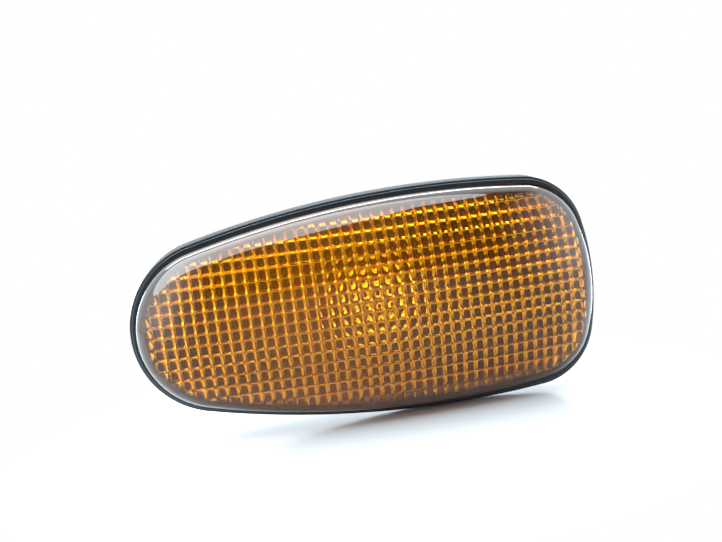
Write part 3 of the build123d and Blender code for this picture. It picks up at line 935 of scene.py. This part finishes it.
def build_housing(sizes, colours):
    """The black housing: its body, four gussets round the port, the hook, and the clip's pad and peg."""
    m = measures(sizes)
    shell = Shell()
    shell.loops(housing_body(sizes, m), closed=True)
    root = m.port_x + m.boss_radius - sizes.port_wall / 2
    foot = sizes.tub_depth - sizes.tub_floor / 2
    top = m.boss_y - sizes.gusset_drop
    gusset = extruded(np.array((
        (root, foot), (m.port_x + m.boss_radius + sizes.gusset_reach, foot),
        (m.port_x + m.boss_radius + sizes.gusset_reach, sizes.tub_depth),
        (m.port_x + m.boss_radius, top), (root, top),
    )), -sizes.gusset_thickness / 2, sizes.gusset_thickness / 2, axis=2)
    for quarter in range(4):
        shell.loops(turned(gusset, m.port_x, pi / 4 + quarter * pi / 2))
    tip = sizes.tub_out - sizes.hook_reach - m.half_length
    inner = m.tub_in - m.half_length
    far = sizes.hook_gap + sizes.hook_thickness
    shell.loops(extruded(np.array((
        (inner, sizes.hook_gap), (tip, sizes.hook_gap), (tip, far - sizes.hook_lead),
        (tip + sizes.hook_lead, far), (inner, far),
    )), -sizes.hook_width / 2, sizes.hook_width / 2, axis=2))
    pad_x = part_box("spring_clip")[0].x
    wall_x = m.half_length - sizes.tub_out - sizes.tub_wall / 2
    shell.loops(extruded(np.array((
        (wall_x, sizes.pad_front), (pad_x, sizes.pad_front),
        (pad_x, sizes.tub_depth), (wall_x - sizes.tub_draft, sizes.tub_depth),
    )), -sizes.pad_width / 2, sizes.pad_width / 2, axis=2))
    ends = np.array((pad_x - sizes.peg_height, pad_x + sizes.peg_height))
    shell.loops(tube(np.stack((ends, np.full(2, sizes.peg_y), np.zeros(2)), axis=-1), sizes.peg_radius, 32))
    plastic = black_plastic(colours)
    shell.piece("black_housing", plastic, "black_plastic", "housing", bevel=sizes.housing_bevel)


def build_gasket(sizes, colours):
    """The gasket: a flat ring with eased edges carried round the outline."""
    m = measures(sizes)
    turns = m.outline.samples(360)
    ease = 0.15 * (m.panel_y - m.rim_back_y)
    band = sizes.gasket_band
    profile = (
        (0, m.rim_back_y), (0, m.panel_y - ease), (ease, m.panel_y),
        (band - ease, m.panel_y), (band, m.panel_y - ease), (band, m.rim_back_y),
    )
    shell = Shell()
    shell.loops(np.stack(carried(m.outline, turns, profile)), closed=True)
    shell.piece("panel_gasket", black_rubber(colours), "black_rubber", "gasket")


def build_clip(sizes, colours):
    """The spring clip: a strip carried along base, fold, leg and free end, with a round shoulder."""
    low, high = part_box("spring_clip")
    base_x = low.x + sizes.clip_thickness / 2
    fold = sizes.clip_reach / 2
    half_turn = np.linspace(pi, 0, 13)[:, None]
    bend_middle = np.array((base_x + fold / 2, sizes.tub_depth))
    bend = bend_middle + fold / 2 * np.concatenate((np.cos(half_turn), np.sin(half_turn)), axis=1)
    shoulder = np.array((base_x + sizes.clip_reach, sizes.clip_shoulder))
    end = np.array((base_x + fold, sizes.clip_end))
    rounded = eased_corner(
        shoulder + 0.15 * (bend[-1] - shoulder), shoulder, shoulder + 0.4 * (end - shoulder)
    )
    path = np.concatenate((((base_x, low.y),), bend, rounded, (end,)))
    ahead = np.gradient(path, axis=0)
    ahead /= np.linalg.norm(ahead, axis=1)[:, None]
    side = np.stack((-ahead[:, 1], ahead[:, 0]), axis=1) * sizes.clip_thickness / 2
    faces = (path - side, path + side)
    rings = np.stack([
        np.column_stack((face, np.full(len(path), z)))
        for face, z in ((faces[0], low.z), (faces[1], low.z), (faces[1], high.z), (faces[0], high.z))
    ], axis=1)
    shell = Shell()
    shell.loops(rings)
    steel = metal("spring_steel", colours.steel, 0.25, (60.0, 4000.0, 4000.0))
    shell.piece("steel_clip", steel, "spring_steel", "spring_clip", bevel=sizes.clip_bevel)


def build_holder(sizes, colours):
    """The bulb holder: one surface from the turned neck and flange, through a circle drawn out to a rounded
    rectangle, to the open plug shell's floor, and two lugs."""
    m = measures(sizes)
    flange_y = m.seal_back_y
    plug_y = flange_y + sizes.holder_flange
    neck = m.port_radius - sizes.turn_clearance
    middle = np.array((m.port_x, 0.0))
    wall = 2 * sizes.plug_wall
    recess = (sizes.plug_width - wall, sizes.plug_height - wall)
    outside = spaced(rounded_rectangle(sizes.plug_width, sizes.plug_height, sizes.plug_wall))
    inside = spaced(rounded_rectangle(*recess, sizes.plug_wall / 2))
    turns = np.arctan2(outside[:, 1], outside[:, 0])
    round_part = (
        (neck, m.holder_front_y), (neck, flange_y), (m.boss_radius, flange_y), (m.boss_radius, plug_y),
    )
    rings = circled(turns, m.port_x, round_part)
    plug = (
        (outside, plug_y), (outside, m.plug_end_y),
        (inside, m.plug_end_y), (inside, plug_y + sizes.plug_floor),
    )
    rings += [lifted(middle + plan, y) for plan, y in plug]
    shell = Shell()
    shell.loops(np.stack(rings))
    root = neck - sizes.lug_reach / 2
    reach = m.port_radius + sizes.lug_reach
    for near, far in ((-reach, -root), (root, reach)):
        low = (m.port_x + near, m.floor_y - sizes.lug_thickness, -sizes.lug_width / 2)
        high = (m.port_x + far, m.floor_y, sizes.lug_width / 2)
        shell.loops(soft_block(low, high, sizes.rim_edge))
    nylon = natural_nylon(colours, flange_y, m.port_x, recess)
    shell.piece("nylon_holder", nylon, "natural_nylon", "bulb_holder", bevel=sizes.holder_bevel)


def build_seal(sizes, colours):
    """The seal between port and holder flange: a ring with bulged sides."""
    m = measures(sizes)
    low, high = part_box("holder_seal")
    outer = (high.x - low.x) / 2
    inner = m.port_radius + sizes.seal_clearance
    bulge = sizes.seal_bulge
    shell = Shell()
    shell.loops(lathe((
        (inner, low.y), (outer - bulge, low.y), (outer, low.y + bulge),
        (outer, high.y - bulge), (outer - bulge, high.y), (inner, high.y),
    ), m.port_x), closed=True)
    shell.piece("holder_seal_ring", black_rubber(colours), "black_rubber", "holder_seal")


def bulb_profile(radius, tip, shoulder, neck, end, steps=14):
    """Radius and level of a blown bulb: a quarter circle at the tip, a straight body, and a neck that
    narrows by half a cosine wave."""
    t = np.linspace(0, pi / 2, steps)
    s = np.linspace(0, 1, steps)
    cap = np.column_stack((radius * np.sin(t), tip + radius * (1 - np.cos(t))))[1:]
    drawn = np.column_stack((
        neck + (radius - neck) * (1 + np.cos(pi * s)) / 2, shoulder + (end - shoulder) * s,
    ))
    return np.concatenate((cap, drawn))


def build_glass(sizes, colours):
    """The bulb's blown glass with its hollow and its pressed wedge."""
    m = measures(sizes)
    low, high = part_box("bulb_glass")
    radius = (high.x - low.x) / 2
    hollow_end = m.holder_front_y - sizes.pinch_length
    shell = Shell()
    shell.loops(lathe(bulb_profile(
        radius, low.y, m.holder_front_y - sizes.bulb_neck_length, sizes.bulb_neck_radius, m.holder_front_y,
    ), m.port_x))
    shell.loops(lathe(bulb_profile(
        radius - sizes.bulb_wall, low.y + sizes.bulb_wall, hollow_end - sizes.hollow_taper,
        sizes.bulb_neck_radius - sizes.bulb_wall / 2, hollow_end,
    ), m.port_x), cavity=True)
    corner = (sizes.wedge_width / 2, sizes.wedge_thickness / 2)
    shell.loops(soft_block(
        (m.port_x - corner[0], m.holder_front_y - sizes.wedge_root, -corner[1]),
        (m.port_x + corner[0], high.y, corner[1]), sizes.rim_edge,
    ))
    shell.piece("bulb_envelope", clear_glass(colours), "clear_glass", "bulb_glass")


def build_filament(sizes, colours, turn_steps=24):
    """The filament: a coil along X, at the turn a at (x, level + coil * cos a, coil * sin a)."""
    low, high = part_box("filament")
    coil = (high.z - low.z) / 2 - sizes.wire_radius
    t = np.linspace(0, 1, sizes.coil_turns * turn_steps + 1)
    swing = 2 * pi * sizes.coil_turns * t
    level = (low.y + high.y) / 2
    along = low.x + (high.x - low.x) * t
    path = np.column_stack((along, level + coil * np.cos(swing), coil * np.sin(swing)))
    shell = Shell()
    shell.loops(tube(path, sizes.wire_radius, 8))
    tungsten = metal("tungsten", colours.tungsten, 0.4, (4000.0, 4000.0, 4000.0))
    shell.piece("bulb_filament_coil", tungsten, "tungsten", "filament")


def build_leads(colours, steps=12):
    """The bulb's two leads, straight wires along Y."""
    wire = metal("lead_wire", colours.lead_wire, 0.3, (4000.0, 60.0, 4000.0))
    for node in ("lead_left", "lead_right"):
        low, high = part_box(node)
        middle = (low + high) / 2
        levels = np.linspace(low.y, high.y, steps)
        path = np.column_stack((np.full(steps, middle.x), levels, np.full(steps, middle.z)))
        shell = Shell()
        shell.loops(tube(path, (high.x - low.x) / 2, 16))
        shell.piece("bulb_" + node, wire, "lead_wire", node)


def finish_contacts(colours):
    """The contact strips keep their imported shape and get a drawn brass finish."""
    brass = metal("drawn_brass", colours.brass, 0.2, (4000.0, 60.0, 4000.0))
    for node in ("contact_upper", "contact_lower"):
        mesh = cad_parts[node].data
        mesh.materials.clear()
        mesh.materials.append(brass)


# Stage


def floor_material(stage):
    """White table with painted shade before the lamp: for all but camera rays, at the distance d before the
    front line its paint is far + (1 - far) / (1 + d / front) as bright, and away from the lamp the camera
    sees pure white."""
    finish = Finish(bpy.data.materials.new("white_table"))
    place = finish.place()
    seen = finish.camera_ray()
    # Painted shade: before the lamp the paint darkens for reflections and bounced light, while the camera
    # sees it white
    ahead = finish.larger(-1.0 * finish.split(place)["Y"] - stage.painted_shade_front, 0.0)
    left = stage.painted_shade_far + (1.0 - stage.painted_shade_far) / (1.0 + ahead / stage.painted_shade_front)
    tint = finish.blend(seen + (1.0 - seen) * left, (0.0, 0.0, 0.0, 1.0), opaque(stage.table))
    paint = finish.principled({"Base Color": tint, "Roughness": 0.15})
    white = finish.node("ShaderNodeEmission", None, {"Strength": 1.0})[0]
    fade = finish.between(finish.reach(place), stage.white_from, stage.white_to)
    return finish.surface(finish.mixed(fade * seen, paint, white))


def build_floor(stage):
    """The table, level with the lowest point of the lamp."""
    half = stage.floor_size / 2
    low = CAD_BOX[0].z
    mesh = bpy.data.meshes.new("white_floor")
    corners = [(-half, -half, low), (half, -half, low), (half, half, low), (-half, half, low)]
    mesh.from_pydata(corners, [], [(0, 1, 2, 3)])
    mesh.materials.append(floor_material(stage))
    floor = bpy.data.objects.new("white_floor", mesh)
    bpy.context.scene.collection.objects.link(floor)


def build_world(stage):
    """A white room: full white seen directly, else dim on the camera's side above the horizon."""
    world = bpy.data.worlds.new("white_room")
    bpy.context.scene.world = world
    finish = Finish(world)
    seen = finish.camera_ray()
    axes = finish.split(finish.node("ShaderNodeTexCoord")["Generated"])
    low = stage.horizon_level * (1.0 - finish.between(axes["Z"], 0.0, sin(stage.horizon_height)))
    edge = stage.dim_reach + stage.dim_blur
    aside = finish.between(finish.away(axes["X"], stage.dim_middle), stage.dim_reach, edge)
    before = stage.front_level + (stage.side_level - stage.front_level) * aside
    behind = finish.between(axes["Y"], stage.back_from, stage.back_to)
    room = before + behind * (stage.back_level - before)
    level = seen + (1.0 - seen) * finish.larger(room, low)
    tint = finish.blend(seen, opaque(stage.light_tint), (1.0, 1.0, 1.0, 1.0))
    shade = finish.node("ShaderNodeBackground", None, {"Color": tint, "Strength": level})[0]
    finish.node("ShaderNodeOutputWorld", None, {"Surface": shade})


def build_camera(stage):
    """A camera turned by yaw, pitch and roll about the lamp's own axes."""
    data = bpy.data.cameras.new("photo_camera")
    data.sensor_width = 36.0
    data.lens = data.sensor_width * stage.focal_pixels / PHOTO_WIDTH
    data.clip_start = 0.01
    yaw, pitch, roll = stage.camera_yaw, stage.camera_pitch, stage.camera_roll
    back = Vector((sin(yaw) * cos(pitch), -cos(yaw) * cos(pitch), sin(pitch)))
    right = Vector((cos(yaw), sin(yaw), 0.0))
    up = back.cross(right)
    across = cos(roll) * right + sin(roll) * up
    above = cos(roll) * up - sin(roll) * right
    turn = Matrix((across, above, back)).transposed().to_4x4()
    camera = bpy.data.objects.new("photo_camera", data)
    camera.matrix_world = Matrix.Translation(stage.camera_place) @ turn
    bpy.context.scene.collection.objects.link(camera)
    bpy.context.scene.camera = camera


def build_softbox(stage, name, shape, size, level, towards, distance):
    """A softbox with the power radiance * pi * area, hung towards a direction and facing the lamp, its
    length along X."""
    data = bpy.data.lights.new(name, "AREA")
    data.shape = shape
    data.size, data.size_y = size
    area = size[0] * size[1] * (pi / 4 if shape == "ELLIPSE" else 1.0)
    data.energy = level * pi * area
    data.color = stage.light_tint
    box = bpy.data.objects.new(name, data)
    direction = Vector(towards).normalized()
    across = (Vector((1.0, 0.0, 0.0)) - direction.x * direction).normalized()
    turn = Matrix((across, direction.cross(across), direction)).transposed().to_4x4()
    box.matrix_world = Matrix.Translation(direction * distance) @ turn
    box.visible_camera = False
    bpy.context.scene.collection.objects.link(box)


def build_lights(stage):
    """An oval softbox overhead, a strip light above and behind the lamp, and a panel light behind it."""
    aside, ahead = -sin(stage.oval_lean), -sin(stage.oval_ahead)
    overhead = (aside, ahead, sqrt(1.0 - aside**2 - ahead**2))
    above = (0.0, sin(stage.strip_lean), cos(stage.strip_lean))
    behind = (0.0, cos(stage.panel_lift), sin(stage.panel_lift))
    oval = (stage.oval_length, stage.oval_depth)
    strip = (stage.strip_width, stage.strip_depth)
    panel = (stage.panel_width, stage.panel_height)
    build_softbox(stage, "oval_light", "ELLIPSE", oval, stage.oval_level, overhead, stage.oval_distance)
    build_softbox(stage, "strip_light", "RECTANGLE", strip, stage.strip_level, above, stage.strip_distance)
    build_softbox(stage, "panel_light", "RECTANGLE", panel, stage.panel_level, behind, stage.panel_distance)


# Operators, panel and registration


class LampOperator:
    """What the lamp's operators share."""

    bl_options = {"REGISTER", "UNDO"}

    def lamp(self, context):
        """The scene's three property groups."""
        scene = context.scene
        return scene.lamp_sizes, scene.lamp_colours, scene.lamp_stage


class LAMP_OT_lens(LampOperator, bpy.types.Operator):
    """Build the amber lens with its pillow optics"""

    bl_idname = "lamp.build_lens"
    bl_label = "Lens"

    def execute(self, context):
        sizes, colours, _ = self.lamp(context)
        build_lens(sizes, colours)
        return {"FINISHED"}


class LAMP_OT_housing(LampOperator, bpy.types.Operator):
    """Build the black housing and the gasket behind its rim"""

    bl_idname = "lamp.build_housing"
    bl_label = "Housing and gasket"

    def execute(self, context):
        sizes, colours, _ = self.lamp(context)
        build_housing(sizes, colours)
        build_gasket(sizes, colours)
        return {"FINISHED"}


class LAMP_OT_holder(LampOperator, bpy.types.Operator):
    """Build the bulb holder and its seal"""

    bl_idname = "lamp.build_holder"
    bl_label = "Bulb holder"

    def execute(self, context):
        sizes, colours, _ = self.lamp(context)
        build_holder(sizes, colours)
        build_seal(sizes, colours)
        return {"FINISHED"}


class LAMP_OT_clip(LampOperator, bpy.types.Operator):
    """Build the spring clip on its pad"""

    bl_idname = "lamp.build_clip"
    bl_label = "Spring clip"

    def execute(self, context):
        sizes, colours, _ = self.lamp(context)
        build_clip(sizes, colours)
        return {"FINISHED"}


class LAMP_OT_bulb(LampOperator, bpy.types.Operator):
    """Build the bulb and finish the contact strips that feed it"""

    bl_idname = "lamp.build_bulb"
    bl_label = "Bulb and contacts"

    def execute(self, context):
        sizes, colours, _ = self.lamp(context)
        build_glass(sizes, colours)
        build_filament(sizes, colours)
        build_leads(colours)
        finish_contacts(colours)
        return {"FINISHED"}


class LAMP_OT_stage(LampOperator, bpy.types.Operator):
    """Set up the floor, the light and the camera"""

    bl_idname = "lamp.build_stage"
    bl_label = "Stage"

    def execute(self, context):
        _, _, stage = self.lamp(context)
        build_floor(stage)
        build_world(stage)
        build_lights(stage)
        build_camera(stage)
        context.scene.view_settings.view_transform = "Standard"
        return {"FINISHED"}


BUILDERS = (LAMP_OT_lens, LAMP_OT_housing, LAMP_OT_clip, LAMP_OT_holder, LAMP_OT_bulb, LAMP_OT_stage)


class LAMP_PT_sidebar(bpy.types.Panel):
    """The lamp's pieces in the 3D view's sidebar"""

    bl_idname = "LAMP_PT_sidebar"
    bl_label = "Side repeater lamp"
    bl_space_type = "VIEW_3D"
    bl_region_type = "UI"
    bl_category = "Lamp"

    def draw(self, context):
        for builder in BUILDERS:
            self.layout.operator(builder.bl_idname)
        for group in (context.scene.lamp_sizes, context.scene.lamp_colours, context.scene.lamp_stage):
            for name in group.__annotations__:
                self.layout.prop(group, name)


GROUPS = {"lamp_sizes": LampSizes, "lamp_colours": LampColours, "lamp_stage": LampStage}
CLASSES = tuple(GROUPS.values()) + BUILDERS + (LAMP_PT_sidebar,)


def register():
    """Register the classes and hang the property groups on the scene."""
    for cls in CLASSES:
        bpy.utils.register_class(cls)
    for name, group in GROUPS.items():
        setattr(bpy.types.Scene, name, PointerProperty(type=group))


def unregister():
    """Take the property groups and the classes away again."""
    for name in GROUPS:
        delattr(bpy.types.Scene, name)
    for cls in reversed(CLASSES):
        bpy.utils.unregister_class(cls)


def main():
    """Build the lamp and its stage."""
    register()
    bpy.ops.lamp.build_lens()
    bpy.ops.lamp.build_housing()
    bpy.ops.lamp.build_clip()
    bpy.ops.lamp.build_holder()
    bpy.ops.lamp.build_bulb()
    bpy.ops.lamp.build_stage()


if __name__ == "__main__":
    main()
